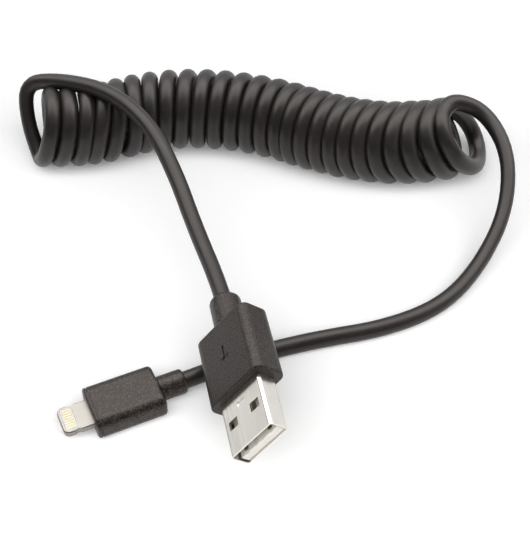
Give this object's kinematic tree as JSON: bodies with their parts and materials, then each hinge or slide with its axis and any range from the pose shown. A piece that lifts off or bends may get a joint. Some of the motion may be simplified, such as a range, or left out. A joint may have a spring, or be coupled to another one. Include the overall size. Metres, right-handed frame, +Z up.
{
  "type": "coiled charging cable",
  "caption": "Coiled black charging cable: a curly cord with a flat host plug at one end and a slim phone plug at the other.",
  "frame": {"origin": "on the table, at the middle of the box round the two plugs as they lie", "axes": "+Z up from the table, +X from the phone plug towards the host plug, +Y from the plugs towards the coil"},
  "size_m": [0.1268, 0.1186, 0.0248],
  "materials": {
    "cord_jacket": "extruded elastomer, satin",
    "black_moulding": "injection moulded, fine spark grain",
    "nickel_shell": "nickel plated sheet",
    "tab_steel": "fine satin",
    "white_plastic": "moulded, semi-gloss",
    "gold_contact": "gold plated",
    "inner_plastic": "low-pressure moulding",
    "board": "solder mask",
    "chip": "moulded epoxy",
    "tinned_can": "tinned sheet",
    "wire_red": "extruded insulation",
    "wire_white": "extruded insulation",
    "wire_green": "extruded insulation",
    "wire_black": "extruded insulation"
  },
  "bodies": {
    "root": {"host_shell": "nickel_shell", "host_tongue": "white_plastic", "host_inner_mould": "inner_plastic", "host_overmould": "black_moulding", "phone_tab": "tab_steel", "phone_insert": "white_plastic", "phone_board": "board", "phone_chip": "chip", "phone_can": "tinned_can", "phone_inner_mould": "inner_plastic", "phone_boot": "black_moulding", "cord_coil": "cord_jacket", "cord_tail_host": "cord_jacket", "cord_tail_phone": "cord_jacket", "host_contact_left_outer": "gold_contact", "host_contact_left_inner": "gold_contact", "host_contact_right_inner": "gold_contact", "host_contact_right_outer": "gold_contact", "phone_contact_upper_1": "gold_contact", "phone_contact_upper_2": "gold_contact", "phone_contact_upper_3": "gold_contact", "phone_contact_upper_4": "gold_contact", "phone_contact_upper_5": "gold_contact", "phone_contact_upper_6": "gold_contact", "phone_contact_upper_7": "gold_contact", "phone_contact_upper_8": "gold_contact", "phone_contact_lower_1": "gold_contact", "phone_contact_lower_2": "gold_contact", "phone_contact_lower_3": "gold_contact", "phone_contact_lower_4": "gold_contact", "phone_contact_lower_5": "gold_contact", "phone_contact_lower_6": "gold_contact", "phone_contact_lower_7": "gold_contact", "phone_contact_lower_8": "gold_contact", "host_wire_left_outer": "wire_red", "host_wire_left_inner": "wire_white", "host_wire_right_inner": "wire_green", "host_wire_right_outer": "wire_black", "phone_wire_left_outer": "wire_red", "phone_wire_left_inner": "wire_white", "phone_wire_right_inner": "wire_green", "phone_wire_right_outer": "wire_black"}
  },
  "joints": []
}
